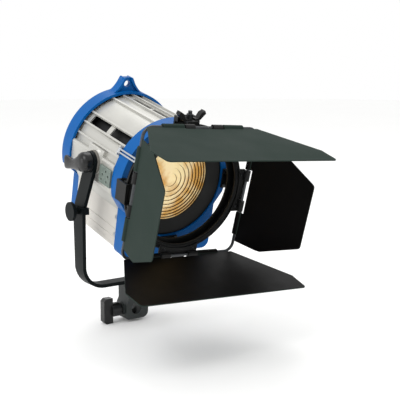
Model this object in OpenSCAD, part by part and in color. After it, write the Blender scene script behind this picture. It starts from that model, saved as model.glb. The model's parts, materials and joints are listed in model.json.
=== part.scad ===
// Fresnel spotlight on a strap yoke, with a hinged lens door and a four-leaf barndoor.
// Millimetres, +Z up, the lamp looks along -Y.
// The origin is the mouth of the spigot socket, on its axis.
// Head pieces are drawn in the head's own frame: y runs along the optical axis
// (negative is forward), z = 0 is the optical axis. in_head() puts them in place.

/* [Pose at rest] */
// Nose-down tilt of the head
head_tilt = 13.3; // [0:0.1:25]
// Turn of the barndoor in its brackets
door_roll = 3.8; // [0:0.1:8]
// Outward angle of the top leaf from straight ahead
top_leaf_angle = -2; // [-10:1:60]
// Outward angle of the bottom leaf
bottom_leaf_angle = 2; // [-10:1:60]
// Outward angle of the left leaf
left_leaf_angle = 14; // [0:1:60]
// Outward angle of the right leaf
right_leaf_angle = 15; // [0:1:60]

/* [Housing] */
// Radius of the round upper part of the housing
body_r = 76; // [64:1:92]
// Half width of the straight lower part
body_half_w = 63; // [54:1:70]
// Depth of the housing below the optical axis
body_drop = 98; // [88:1:118]
// Length of the silver housing from the pivot line's datum to the lens door
body_front = 80; // [80:1:100]
// Length of the silver housing behind the datum
body_rear = 38; // [38:1:60]
// Sheet thickness of the housing
sheet_t = 2; // [1.5:0.1:3]
// Height of the cooling ribs
rib_h = 3; // [2:0.5:4]
// Width of the cooling ribs
rib_w = 2.4; // [1.5:0.1:4]
// How far the top skin stops short of the rear bulkhead
vent_gap = 6; // [4:1:14]

/* [Castings] */
// How far the castings stand proud of the housing
cast_proud = 5; // [4:0.5:8]
// Depth of the front casting along the optical axis
front_depth = 21.6; // [20:0.1:28]
// Depth of the rear casting along the optical axis
rear_depth = 22; // [20:1:32]
// Wall of both castings
cast_wall = 3.5; // [3:0.1:5]
// Height of the safety eye's centre over the rear casting
eye_up = 9; // [8:1:20]
// Radius of the safety eye
eye_r = 4.5; // [3.5:0.1:6]

/* [Lens] */
// Radius of the lens
lens_r = 57; // [47:0.5:59]
// Thickness of the lens
lens_t = 6; // [5:0.5:8]
// Number of stepped rings round the centre of the lens
lens_rings = 8; // [5:1:10]
// Width of the front casting's rim around its opening
mouth_rim = 8; // [7:0.5:10]

/* [Barndoor] */
// How far the accessory ring stands out beyond the front casting
ring_over = 3.2; // [3:0.1:6]
// How far each hinge line stands out beyond the accessory ring
hinge_over = 0.8; // [0.8:0.1:6]
// Radius of the hinge wire
wire_r = 2; // [1.5:0.1:2.5]
// Thickness of the leaves
leaf_t = 1.5; // [1:0.1:2]
// Reach of the wide leaves
wide_reach = 114; // [95:1:130]
// Reach of the narrow leaves
narrow_reach = 102; // [85:1:115]
// Half width of the wide leaves at their widest
wide_half = 126; // [105:1:151]
// Half width of the wide leaves at the tip
wide_tip = 123; // [102:1:148]
// Half width of the narrow leaves at the tip
narrow_tip = 42; // [35:1:60]

/* [Yoke] */
// Height of the tilt pivot over the socket's mouth
pivot_height = 232; // [225:1:270]
// How far the pivot stands in front of the socket's axis
yoke_reach = 51; // [40:1:60]
// Thickness of the strap
strap_t = 5; // [4:0.5:6]
// Width of the strap at the pivot
strap_w = 25; // [20:1:30]
// Thickness of the friction washers between the housing and the yoke
washer_t = 2.9; // [2.9:0.1:6]
// Radius of the tilt studs
stud_r = 5; // [4:0.5:6]

/* [Spigot socket] */
// Radius of the socket bore for a 16 mm spigot
socket_r = 8.1; // [8.1:0.05:8.4]
// Depth of the socket bore
socket_depth = 36; // [32:1:40]
// Width of the receptacle block
block_w = 32; // [30:1:40]
// Depth of the receptacle block
block_d = 28; // [26:1:36]
// Height of the cross bore and the clamp screw over the mouth
cross_z = 14.5; // [12:0.5:16]

/* [Focus] */
// Radius of the focus spindle
spindle_r = 4; // [3:0.5:5]
// Radius of the guide rods
rod_r = 3; // [2.5:0.5:4]
// Distance of the guide rods from the middle
rod_x = 30; // [24:1:40]
// Height of the spindle and rods over the housing's floor
rail_up = 26; // [24:1:32]
// Radius of the reflector
reflector_r = 38; // [34:1:40]

/* [Hidden] */
$fn = 96;
// Clearances: turning fit and loose gap between moving pieces
run_gap = 0.06;
gap = 0.4;
// Overshoot of a cut through a face, and overlap of outlines that join
cut = 1;
seam = 0.01;

// Pivot in the head's frame, and the planes of the main pieces along the optical axis
pivot_y = 45 - body_front;
pivot_z = 11.5;
door_rear = -body_front - gap;
door_front = door_rear - front_depth;
mouth_rear = door_front + 5;
lens_front = mouth_rear + 4.9;
disc_rear = door_front - 17;
disc_t = 2.4;
disc_front = disc_rear - disc_t;
wire_y = disc_front - 17.6;
bulk_t = 1.5;
ring_start = body_rear - 5;
ring_end = ring_start + rear_depth;

// Outline radii: round part, straight part, drop and the knee where the sides become straight
knee_angle = 104;
cast_r = body_r + cast_proud;
rear_r = cast_r + 2;
eye_z = rear_r + eye_up;
mouth_r = cast_r - mouth_rim;
// The knee sits where the opening's circle still leaves this wall beside it
knee_wall = 4.5;
knee_z = -sqrt(max(400, pow(mouth_r, 2) - pow(body_half_w + cast_proud - knee_wall, 2)));
ring_r = cast_r + ring_over;
hinge_out = ring_r + hinge_over;
rail_drop = body_drop - rail_up;
pad_x = body_r + 4;
boss_x = pad_x + 2;
washer_x = boss_x + 0.1 + washer_t;
yoke_half_w = washer_x + strap_t;
skin_end = body_rear - vent_gap;
edge_angle = 68;
rail_foot = knee_z - 6;
pad_low = -14;
pad_high = 19;
boss_r = 16;
tray_top = -body_drop + 10;
rib_angles = [-67, -55, -43, -17.5, -6, 6, 17.5, 43, 55, 67];

// Vent windows in pairs along the housing, at these angles from the top
side_window_angle = 49.2;
window_w = 15.4;
top_window_w = 8.5;
window_bridge = 9.5;
top_window_bridge = 4;
window_front = 3 - body_front;
window_len = (skin_end + body_front - 3 - window_bridge - 7.5)/2;

// Frame maps
module in_head() {
    translate([0, -yoke_reach, pivot_height]) rotate([head_tilt, 0, 0])
        translate([0, -pivot_y, -pivot_z]) children();
}
module in_door() { in_head() rotate([0, door_roll, 0]) children(); }
// Side 0 is the top, 1 the right, 2 the bottom and 3 the left of the barndoor
module at_side(side) { rotate([0, 90*side, 0]) children(); }
module both_sides() { children(); mirror([1, 0, 0]) children(); }

// A flat (x, z) outline extruded from y0 to y1, and a turned (r, y) outline
module along_y(y0, y1) { translate([0, y1, 0]) rotate([90, 0, 0]) linear_extrude(y1 - y0) children(); }
module turned_y(points) { rotate([90, 0, 0]) rotate_extrude() polygon([for (p = points) [p[0], -p[1]]]); }
module rod_y(r, y0, y1) { translate([0, y1, 0]) rotate([90, 0, 0]) cylinder(r = r, h = y1 - y0); }
module rod_x(r, x0, x1) { translate([x0, 0, 0]) rotate([0, 90, 0]) cylinder(r = r, h = x1 - x0); }
module block(a, b) { translate(a) cube(b - a); }

// Arc from angle a0 to a1 about a centre, and a corner rounded to radius r between two lines
function arc(c, r, a0, a1, n) =
    [for (i = [0:n]) c + r*[cos(a0 + (a1 - a0)*i/n), sin(a0 + (a1 - a0)*i/n)]];
function unit(v) = v/norm(v);
function rounded(p0, p1, p2, r, n = 8) =
    let (u = unit(p0 - p1), v = unit(p2 - p1), half = acos(u*v)/2,
         c = p1 + unit(u + v)*r/sin(half),
         q0 = p1 + u*r/tan(half), q1 = p1 + v*r/tan(half),
         a0 = atan2(q0[1] - c[1], q0[0] - c[0]), a1 = atan2(q1[1] - c[1], q1[0] - c[0]),
         turn = ((a1 - a0 + 540) % 360) - 180)
    arc(c, r, a0, a0 + turn, n);
function mirrored(points) = [for (i = [len(points) - 1:-1:0]) [-points[i][0], points[i][1]]];

// The housing's keyhole outline: a round top whose sides step in at the knee to a straight box
module keyhole(r, half_w, drop, corner = 6) {
    shoulder = r*[sin(knee_angle), cos(knee_angle)];
    lower_right = concat([shoulder + [-seam, 2], shoulder + [-seam, 0], [half_w, knee_z]],
        rounded([half_w, knee_z], [half_w, -drop], [0, -drop], corner));
    intersection() {
        circle(r);
        translate([-r, shoulder[1]]) square(2*r);
    }
    polygon(concat(lower_right, mirrored(lower_right)));
}
// The same outline as one closed path, for thin plates
module keyhole_plate(r, half_w, drop, corner) {
    lower = concat([[half_w, knee_z]], rounded([half_w, knee_z], [half_w, -drop], [0, -drop], corner));
    polygon(concat(arc([0, 0], r, 90 + knee_angle, 90 - knee_angle, 70), lower, mirrored(lower)));
}
module housing_ring() {
    difference() {
        keyhole(body_r, body_half_w, body_drop);
        keyhole(body_r - sheet_t, body_half_w - sheet_t, body_drop - sheet_t, 4);
    }
}
// A pie slice about the top, half_angle to each side
module top_sector(half_angle, reach = 150) {
    polygon(concat([[0, 0]], [for (i = [-6:6]) reach*[sin(half_angle*i/6), cos(half_angle*i/6)]]));
}

// ---------------------------------------------------------------- yoke and socket
bar_z = socket_depth + 15;
kink_x = yoke_half_w + 6.5;
kink_z = pivot_height - 66;
taper = 9.8;

function yoke_edge(o) =
    let (foot_z = bar_z + o, foot_x = kink_x - o/cos(taper) - (kink_z - foot_z)*tan(taper))
    concat([[yoke_half_w - o, pivot_height + strap_w], [yoke_half_w - o, pivot_height - 12],
            [kink_x - o, kink_z]],
        rounded([kink_x - o, kink_z], [foot_x, foot_z], [0, foot_z], 34 - o, 10));

module yoke_side_view() {
    foot = 10.5;
    eye = strap_w/2 + 1.5;
    polygon(concat(arc([-yoke_reach, pivot_height], eye, 180, 0, 24),
        [[foot + 1, bar_z + 30], [foot, bar_z + strap_t], [foot, bar_z - cut],
         [-foot, bar_z - cut], [-foot, bar_z + strap_t], [-foot - 2, bar_z + 30]]));
}
module yoke_strap() {
    color("#23282b") difference() {
        intersection() {
            translate([0, 60, 0]) rotate([90, 0, 0]) linear_extrude(160) difference() {
                polygon(concat(yoke_edge(0), mirrored(yoke_edge(0))));
                polygon(concat(yoke_edge(strap_t), mirrored(yoke_edge(strap_t))));
                translate([-yoke_half_w + strap_t, pivot_height])
                    square([2*(yoke_half_w - strap_t), 2*strap_w]);
            }
            translate([-120, 0, 0]) rotate([90, 0, 90]) linear_extrude(240) yoke_side_view();
        }
        translate([0, -yoke_reach, pivot_height]) rod_x(stud_r + run_gap, -120, 120);
        cylinder(r = 5.3, h = 100);
    }
}

flange_t = 4;
module spigot_receptacle() {
    half_w = block_w/2;
    half_d = block_d/2;
    body_top = bar_z - flange_t;
    color("#3b4245") difference() {
        union() {
            along_y(-half_d, half_d) polygon(concat(
                rounded([-half_w, 20], [-half_w, 0], [0, 0], 4, 4),
                rounded([0, 0], [half_w + 3, 0], [half_w + 3, 20], 9, 6),
                [[half_w + 3, 20], [half_w - 3, 30], [half_w - 3, body_top], [-half_w + 3, body_top],
                 [-half_w + 3, 28], [-half_w, 22]]));
            block([-19, -half_d + 1, body_top], [19, half_d - 1, bar_z]);
            translate([0, 0, cross_z]) rod_x(9, -half_w - 2, -half_w + cut);
        }
        translate([0, 0, -cut]) cylinder(r = socket_r, h = socket_depth + cut);
        translate([0, 0, cross_z]) rod_y(socket_r, -half_d - cut, half_d + cut);
        translate([0, 0, cross_z]) rod_x(4 + run_gap, -half_w - 5, 0);
        translate([0, 0, socket_depth + 2]) cylinder(r = 5.05, h = 20);
    }
}
module receptacle_bolt() {
    top = bar_z + strap_t;
    color("#5a5f63") {
        translate([0, 0, socket_depth + 2.5]) cylinder(r = 5, h = top + 1.6 - socket_depth - 2.5 + 0.1);
        difference() {
            translate([0, 0, top + 0.05]) cylinder(r = 10, h = 1.5);
            translate([0, 0, top - cut]) cylinder(r = 4.9, h = 4);
        }
        translate([0, 0, top + 1.55]) cylinder(r = 8.5, h = 6, $fn = 6);
    }
}

clamp_x = -block_w/2 - 2;
module spigot_clamp_screw() {
    color("#9a9ea2") translate([0, 0, cross_z]) rod_x(4, clamp_x - 10, -socket_r - 0.9);
}
module spigot_clamp_knob() {
    color("#141617") difference() {
        translate([0, 0, cross_z]) {
            rod_x(7, clamp_x - 4, clamp_x - gap);
            rod_x(10, clamp_x - 17, clamp_x - 4);
            difference() {
                block([clamp_x - 29, -5.5, -18], [clamp_x - 15, 5.5, 18]);
                for (z = [-18, 18])
                    translate([clamp_x - 29, 0, z]) rotate([0, 45, 0]) cube([5, 12, 5], center = true);
            }
        }
        translate([0, 0, cross_z]) rod_x(4.05, clamp_x - 10.1, 0);
    }
}

peg_z = pivot_height - 65;
peg_y = -yoke_reach*(peg_z - bar_z - 30)/(pivot_height - bar_z - 30) - 0.4;
peg_face = kink_x + 0.1;
module cable_peg() {
    half = strap_w/2 + 2.6;
    color("#1b1e20") {
        difference() {
            translate([-peg_face - 2, peg_y - half - 1.6, peg_z - 4.5]) cube([strap_t + 5, 2*half + 3.2, 9]);
            translate([-peg_face, peg_y - half, peg_z - 10]) cube([strap_t + 1.4, 2*half, 20]);
        }
        translate([0, peg_y - 4, peg_z]) {
            rod_x(4.8, -peg_face - 10, -peg_face - 1.9);
            rod_x(12.5, -peg_face - 14, -peg_face - 10);
        }
    }
}

module at_pivot() { translate([0, -yoke_reach, pivot_height]) children(); }
module friction_washers() {
    color("#6d6f6c") both_sides() at_pivot() difference() {
        rod_x(15, boss_x + 0.1, washer_x - 0.02);
        rod_x(stud_r + 0.3, 0, 120);
    }
}
// Clamping lever: a domed hub on the stud with a paddle that sweeps back
module tilt_lever() {
    hub_in = -yoke_half_w - 0.3;
    hub_out = hub_in - 15;
    color("#101213") at_pivot() difference() {
        union() {
            rod_x(13.5, hub_out + 4, hub_in);
            rod_x(10.5, hub_out, hub_out + 4 + 0.01);
            translate([hub_out + 1, 0, 0]) rotate([90, 0, 90]) linear_extrude(9) polygon(concat(
                [[2, 11], [18, 4]], rounded([18, 4], [44, 6], [40, -11], 3, 4),
                rounded([44, 6], [38, -13], [14, -13], 4, 4), [[10, -11], [-2, -8]]));
        }
        rod_x(stud_r + run_gap, hub_out + 5, 0);
    }
}

// ---------------------------------------------------------------- head housing
module window_pair(width, start, bridge) {
    for (y = [start, start + window_len + bridge])
        block([-width/2, y, body_r - 8], [width/2, y + window_len, body_r + 1.5]);
}
module top_shell() {
    color("#cfcfcb") in_head() difference() {
        union() {
            along_y(-body_front, skin_end) intersection() {
                difference() { circle(body_r); circle(body_r - sheet_t); }
                top_sector(edge_angle);
            }
            for (a = rib_angles) rotate([0, a, 0])
                block([-rib_w/2, -body_front, body_r - sheet_t + 0.3], [rib_w/2, body_rear, body_r + rib_h]);
            // Narrow hoop under the ribs' free ends
            along_y(body_rear - 2.5, body_rear) intersection() {
                difference() { circle(body_r - 0.5); circle(body_r - sheet_t); }
                top_sector(edge_angle);
            }
        }
        for (a = [-side_window_angle, side_window_angle]) rotate([0, a, 0])
            window_pair(window_w - rib_w, window_front, window_bridge);
        window_pair(top_window_w, window_front + 1, top_window_bridge);
    }
}

// Side rail: the cast strip that carries the tilt pivot, between the top shell and the side panel
module side_rail() {
    pad = [[pad_x, pad_low], [pad_x, pad_high], [pad_x - 1.5, pad_high + 2], [60, pad_high + 2],
        [60, pad_low - 8], [pad_x - 4, pad_low - 6]];
    difference() {
        union() {
            along_y(-body_front, body_rear) intersection() {
                difference() {
                    keyhole(body_r, body_half_w, body_drop);
                    keyhole(body_r - sheet_t, body_half_w - sheet_t, body_drop - sheet_t, 4);
                    top_sector(edge_angle);
                }
                translate([1, rail_foot]) square([130, 90 - rail_foot]);
            }
            along_y(-body_front, ring_start - gap) difference() {
                polygon(pad);
                circle(body_r - 1);
            }
            along_y(pivot_y - 12, pivot_y + 26) difference() {
                polygon([[pad_x - 1, pad_high - 1], [pad_x - 3.5, pad_high + 9],
                    [60, pad_high + 9], [60, pad_high - 1]]);
                circle(body_r - 1);
                top_sector(edge_angle + 0.5);
            }
            translate([0, pivot_y, pivot_z]) rod_x(boss_r, body_r - 3, boss_x);
        }
        translate([0, pivot_y, pivot_z]) rod_x(stud_r + 0.05, 50, 100);
    }
}
module side_rail_left() { color("#c3c4c1") in_head() mirror([1, 0, 0]) side_rail(); }
module side_rail_right() { color("#c3c4c1") in_head() side_rail(); }
module side_panel(side) {
    groove = 0.7;
    x0 = body_half_w;
    difference() {
        along_y(-body_front, body_rear) intersection() {
            housing_ring();
            polygon([[0, rail_foot], [side*130, rail_foot], [side*130, tray_top], [0, tray_top]]);
        }
        for (z = [-70, -82]) block([min(side*x0, side*(x0 - groove)), -body_front - cut, z],
            [max(side*(x0 - groove), side*(x0 + cut)), body_rear + cut, z + 1.2]);
    }
}
module side_panel_left() { color("#d8d5d1") in_head() side_panel(-1); }
module side_panel_right() { color("#d8d5d1") in_head() side_panel(1); }
module bottom_tray() {
    color("#c9c9c5") in_head() difference() {
        along_y(-body_front, body_rear) intersection() {
            housing_ring();
            polygon([[-130, tray_top], [130, tray_top], [130, -150], [-130, -150]]);
        }
        for (y = [-52:14:18]) block([-28, y, -body_drop - cut], [28, y + 5, -body_drop + sheet_t + cut]);
    }
}

baffle_r = body_r - sheet_t - 8;
module heat_baffle() {
    color("#17181a") in_head() along_y(-body_front + 8, body_rear) intersection() {
        difference() { circle(baffle_r); circle(baffle_r - 1.2); }
        top_sector(80);
    }
}
module rear_bulkhead() {
    color("#1a1b1d") in_head() difference() {
        along_y(body_rear + 0.1, body_rear + 0.1 + bulk_t)
            keyhole_plate(rear_r - cast_wall - 0.2, body_half_w - 4.2, body_drop - 4.2, 4);
        for (x = [-24:24:24], z = [-38:19:38])
            translate([x, 0, z]) rod_y(5, body_rear - cut, body_rear + bulk_t + cut);
        translate([0, 0, -rail_drop]) {
            rod_y(spindle_r + run_gap, body_rear - cut, body_rear + 5);
            for (x = [-rod_x, rod_x])
                translate([x, 0, 0]) rod_y(rod_r + 0.02, body_rear - cut, body_rear + 5);
        }
    }
}
cover_in = [rear_r - cast_wall - 8, body_half_w - 12, body_drop - 12];
module rear_casting() {
    color("#0b57a4") in_head() {
        difference() {
            union() {
                along_y(ring_start, body_rear + 2) intersection() {
                    circle(rear_r);
                    translate([-rear_r, rear_r*cos(knee_angle)]) square(2*rear_r);
                }
                along_y(body_rear + 0.05, ring_end) keyhole(rear_r, body_half_w - 1, body_drop - 1, 10);
            }
            along_y(ring_start - cut, ring_end - 4)
                keyhole(rear_r - cast_wall, body_half_w - 4, body_drop - 4, 5);
            rod_y(body_r + rib_h + 0.3, ring_start - cut, body_rear + 0.05);
            along_y(ring_end - 5, ring_end + cut)
                keyhole(cover_in[0] - 7, cover_in[1] - 4, cover_in[2] - 3.6, 8);
            for (p = screw_spots) translate([p[0], 0, p[1]]) rod_y(2.05, ring_end - 5, ring_end + cut);
        }
        safety_eye();
    }
}
// Safety eye: a web with a thick rim on both edges, drilled through
module safety_eye() {
    foot_z = rear_r - cast_wall + 0.5;
    y0 = ring_start + 4;
    edge = [[-25, foot_z - 2.5], [-16, rear_r + 2.5], [-11, eye_z], [-8.5, eye_z + 5]];
    crown = rounded([-8.5, eye_z + 5], [-7, eye_z + 9], [0, eye_z + 9], 2, 3);
    outline = concat(edge, crown);
    inner = [for (p = edge) [p[0] + 3.4, p[1]]];
    difference() {
        union() {
            along_y(y0 + 4, y0 + 10) polygon(concat(outline, mirrored(outline)));
            both_sides() along_y(y0, y0 + 14) polygon(concat(edge,
                [[-6.4, eye_z + 9], [-4.5, eye_z + 9]], [for (i = [3:-1:0]) inner[i]]));
        }
        translate([0, 0, eye_z]) rod_y(eye_r, y0 - cut, y0 + 20);
    }
}
screw_r = cover_in[0] - 4.4;
upper_spots = [for (a = [40, 140, 217, 323]) screw_r*[cos(a), sin(a)]];
screw_spots = concat(upper_spots, [for (side = [-1, 1]) [side*(body_half_w - 20), 11.5 - body_drop]]);
cover_y = ring_end - 4 - 2.1;
module rear_cover() {
    color("#1d1f21") in_head() difference() {
        along_y(cover_y, cover_y + 2) keyhole_plate(cover_in[0], cover_in[1] + 4, cover_in[2] + 4, 8);
        for (z = [-34:13:44]) block([-40, cover_y - cut, z], [40, cover_y + 3, z + 5]);
        translate([0, 0, -rail_drop]) rod_y(spindle_r + 0.6, cover_y - cut, cover_y + 3);
        translate([gland_x, 0, -rail_drop]) rod_y(3.5, cover_y - cut, cover_y + 3);
        for (p = screw_spots) translate([p[0], 0, p[1]]) rod_y(2.05, cover_y - cut, cover_y + 3);
    }
}
module rear_cover_screws() {
    color("#2b2d2f") in_head() for (p = screw_spots) translate([p[0], 0, p[1]]) {
        rod_y(2, cover_y - 3, ring_end + 0.1);
        difference() {
            rod_y(3.8, ring_end + 0.05, ring_end + 2.2);
            rod_y(1.5, ring_end + 1, ring_end + 3);
        }
    }
}
gland_x = 30;
module cable_gland() {
    y0 = cover_y + 2.02;
    color("#161819") in_head() translate([gland_x, 0, -rail_drop]) difference() {
        union() {
            translate([0, y0 + 9, 0]) rotate([90, 0, 0]) cylinder(r = 10, h = 9, $fn = 6);
            rod_y(7.5, y0 + 9, y0 + 17);
        }
        rod_y(3.5, y0 - cut, y0 + 20);
    }
}
module vent_block(y0) {
    difference() {
        block([pad_x, y0, -9], [pad_x + 3.2, pivot_y - boss_r - 0.4, 14]);
        for (p = [[9, -4], [6, 4], [12, 9], [20, 3], [22, -4]]) translate([0, y0 + p[0], p[1]])
            rod_x(1.8, pad_x + 1, pad_x + 5);
    }
}
module vent_block_left() { color("#74807a") in_head() mirror([1, 0, 0]) vent_block(0.6 - body_front); }
module vent_block_right() { color("#74807a") in_head() vent_block(5 - body_front); }
module pivot_studs() {
    color("#8f9396") in_head() translate([0, pivot_y, pivot_z])
        both_sides() rod_x(stud_r, baffle_r + 1, yoke_half_w + 4.5);
}
module pivot_nut_right() {
    color("#111314") in_head() translate([0, pivot_y, pivot_z]) difference() {
        union() {
            rod_x(13, yoke_half_w + 0.3, yoke_half_w + 4);
            rod_x(9, yoke_half_w + 4, yoke_half_w + 8);
        }
        rod_x(stud_r + 0.05, 0, yoke_half_w + 4.6);
    }
}
module rod_support() {
    y0 = -body_front + 4;
    color("#2a2c2e") in_head() difference() {
        along_y(y0, y0 + 3) polygon([[-body_half_w + sheet_t + 0.2, -body_drop + 14],
            [-body_half_w + 10, -body_drop + 3],
            [body_half_w - 10, -body_drop + 3], [body_half_w - sheet_t - 0.2, -body_drop + 14],
            [body_half_w - sheet_t - 0.2, -rail_drop + 10], [-body_half_w + sheet_t + 0.2, -rail_drop + 10]]);
        translate([0, 0, -rail_drop]) {
            rod_y(spindle_r + run_gap, y0 - cut, y0 + 5);
            for (x = [-rod_x, rod_x]) translate([x, 0, 0]) rod_y(rod_r + 0.02, y0 - cut, y0 + 5);
        }
    }
}
module guide_rods() {
    color("#b9bcc0") in_head() both_sides()
        translate([rod_x, 0, -rail_drop]) rod_y(rod_r, -body_front + 3, body_rear + bulk_t + 1);
}
module casing_screws() {
    color("#a9acb0") in_head() both_sides() for (y = [-body_front + 6, body_rear - 8], z = [-52, -76])
        translate([0, y, z]) difference() {
            rod_x(3, body_half_w + 0.01, body_half_w + 1.8);
            rod_x(1.2, body_half_w + 0.8, body_half_w + 3);
        }
}

// ---------------------------------------------------------------- lens door hinge and catch
hinge_x = cast_r + 4.5;
hinge_y = -body_front - gap/2;
barrel_r = 4;
module door_hinge_bracket() {
    color("#2b2e30") in_head() {
        translate([hinge_x, hinge_y, -17]) cylinder(r = 2, h = 34);
        difference() {
            union() {
                translate([hinge_x, hinge_y, -5.5]) cylinder(r = barrel_r, h = 11);
                block([pad_x + 0.02, hinge_y + 1.2, -5.5], [hinge_x, hinge_y + barrel_r, 5.5]);
            }
        }
    }
}
module door_knuckles() {
    for (z = [-16, 6]) difference() {
        union() {
            translate([hinge_x, hinge_y, z]) cylinder(r = barrel_r, h = 10);
            block([cast_r - 3, hinge_y - barrel_r, z], [hinge_x, hinge_y - 1.2, z + 10]);
        }
        translate([hinge_x, hinge_y, z - cut]) cylinder(r = 2 + run_gap, h = 12);
    }
}
// Two sprung strips that run from the shell over the edge of the lens door
catch_angle = 61;
catch_in = cast_r + 0.4;
catch_front = disc_rear + 0.8;
catch_rear = 6 - body_front;
catch_pin_y = catch_rear - 3;
catch_pin_z = catch_in + 1.7;
module door_catch() {
    color("#b4b8bb") in_head() rotate([0, -catch_angle, 0]) difference() {
        union() {
            for (x = [-3, 1]) block([x, catch_front, catch_in], [x + 2, catch_pin_y - 1, catch_in + 2]);
            block([-3, catch_front, catch_in], [3, catch_front + 2.5, catch_in + 2]);
            block([-3.6, catch_pin_y - 3, catch_in], [3.6, catch_pin_y, catch_in + 2.4]);
            translate([0, catch_pin_y, catch_pin_z]) rod_x(1.7, -3.6, 3.6);
        }
        translate([0, catch_pin_y, catch_pin_z]) rod_x(0.8 + run_gap, -5, 5);
    }
}
module catch_lug() {
    color("#cfcfcb") in_head() rotate([0, -catch_angle, 0]) {
        block([-6, catch_pin_y - 2, body_r + 0.3], [6, catch_pin_y + 2, catch_in - 0.4]);
        for (x = [-6, 4])
            block([x, catch_pin_y - 2, catch_in - 0.5], [x + 2, catch_pin_y + 2, catch_pin_z + 2]);
        translate([0, catch_pin_y, catch_pin_z]) rod_x(0.8, -5, 5);
    }
}

// ---------------------------------------------------------------- focus
module focus_spindle() {
    color("#a8abae") in_head() translate([0, 0, -rail_drop]) rod_y(spindle_r, -body_front + 2, ring_end + 12);
}
knob_y = ring_end + 2.5;
module focus_knob() {
    color("#131415") in_head() translate([0, 0, -rail_drop]) difference() {
        union() {
            rod_y(9, knob_y, knob_y + 4);
            rod_y(13, knob_y + 4, knob_y + 16);
        }
        rod_y(spindle_r + 0.04, knob_y - cut, ring_end + 12.1);
        for (i = [0:11]) rotate([0, 30*i, 0]) translate([14.2, 0, 0]) rod_y(2.2, knob_y + 3, knob_y + 18);
    }
}
bulb_y = 76 - body_front;
sled_y0 = bulb_y - 16;
sled_y1 = bulb_y + 35;
sled_z = -rail_drop + 8;
nut_len = 12;
module carriage_plate() {
    color("#8d9093") in_head() difference() {
        union() {
            block([-rod_x - 8, sled_y0, sled_z], [rod_x + 8, sled_y1, sled_z + 1.6]);
            for (y = [sled_y0, sled_y1 - 5])
                block([-rod_x - 8, y, -rail_drop - 7], [rod_x + 8, y + 5, sled_z + cut]);
            block([-7, bulb_y + reflector_r - 4.4, sled_z + cut], [7, bulb_y + reflector_r - 2.9, -24]);
        }
        translate([0, 0, -rail_drop]) {
            for (x = [-rod_x, rod_x])
                translate([x, 0, 0]) rod_y(rod_r + run_gap, sled_y0 - cut, sled_y1 + cut);
            rod_y(6.05, sled_y0 - cut, sled_y0 + 6);
            rod_y(spindle_r + 0.5, sled_y0, sled_y1 + cut);
        }
    }
}
module carriage_nut() {
    color("#c6a14a") in_head() translate([0, 0, -rail_drop]) difference() {
        union() {
            rod_y(6, sled_y0 - 1, sled_y0 + nut_len);
            rod_y(7.5, sled_y0 - 2, sled_y0 - 0.02);
        }
        rod_y(spindle_r + run_gap, sled_y0 - 4, sled_y0 + nut_len + cut);
    }
}
module reflector() {
    turn = 50;
    outer = reflector_r + 1.2;
    color("#e4e6e8") in_head() translate([0, bulb_y, 0]) turned_y(concat(
        [for (i = [0:16]) reflector_r*[sin(turn*i/16), cos(turn*i/16)]],
        [for (i = [16:-1:0]) outer*[sin(turn*i/16), cos(turn*i/16)]]));
}
module lampholder() {
    color("#e8e2d4") in_head() translate([0, bulb_y, 0]) difference() {
        block([-15, -12, sled_z + 1.62], [15, 12, -38]);
        block([-15 - cut, -3, -44], [15 + cut, 3, -37]);
        block([-11, -13, -56], [11, -9, -48]);
    }
}
module bulb_base() {
    color("#b8b4a8") in_head() translate([0, bulb_y, 0]) {
        translate([0, 0, -37.9]) cylinder(r = 9, h = 10);
        for (x = [-5, 5]) translate([x, 0, -43]) cylinder(r = 1.4, h = 6);
    }
}
module bulb_envelope() {
    color("#dfe8ee") in_head() translate([0, bulb_y, -27.8]) rotate_extrude() polygon(concat(
        [[0, 0], [8, 0]], arc([0, 36], 8, 0, 90, 10),
        arc([0, 36], 7, 90, 0, 10), [[7, 1.2], [0, 1.2]]));
}
module bulb_filament() {
    color("#d9a441") in_head() translate([0, bulb_y, 0]) {
        for (x = [-3, -1, 1, 3]) translate([x, 0, -5]) cylinder(r = 0.6, h = 10);
        for (x = [-3, 3]) translate([x, 0, -26.5]) cylinder(r = 0.4, h = 22);
        block([-3.5, -0.4, 5], [3.5, 0.4, 5.8]);
    }
}

// ---------------------------------------------------------------- lens door
module front_casting() {
    color("#0b57a4") in_head() {
        difference() {
            along_y(door_front, door_rear)
                keyhole(cast_r, body_half_w + cast_proud - 0.5, body_drop + 1.5, 10);
            along_y(mouth_rear, door_rear + cut)
                keyhole(cast_r - cast_wall, body_half_w + 0.8, body_drop - 2.5, 6);
            rod_y(flange_r + gap, mouth_rear, door_rear + cut);
            rod_y(mouth_r, door_front - cut, door_rear);
        }
        door_knuckles();
    }
}
lip_r = lens_r - 3;
flange_r = mouth_r + 1.5;
module lens_ring() {
    color("#0f1011") in_head() turned_y([[flange_r, mouth_rear], [mouth_r - 0.4, mouth_rear],
        [mouth_r - 0.4, mouth_rear - 3], [mouth_r - 2.5, mouth_rear - 3], [lip_r, lens_front - 1.9],
        [lip_r, lens_front - 0.05], [lens_r + 0.3, lens_front - 0.05],
        [lens_r + 0.3, lens_front + lens_t + 1.5],
        [lens_r + 2.5, lens_front + lens_t + 1.5], [lens_r + 2.5, lens_front - 0.8],
        [lens_r + 9, mouth_rear + 2.5], [flange_r, mouth_rear + 2.5]]);
}
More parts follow.
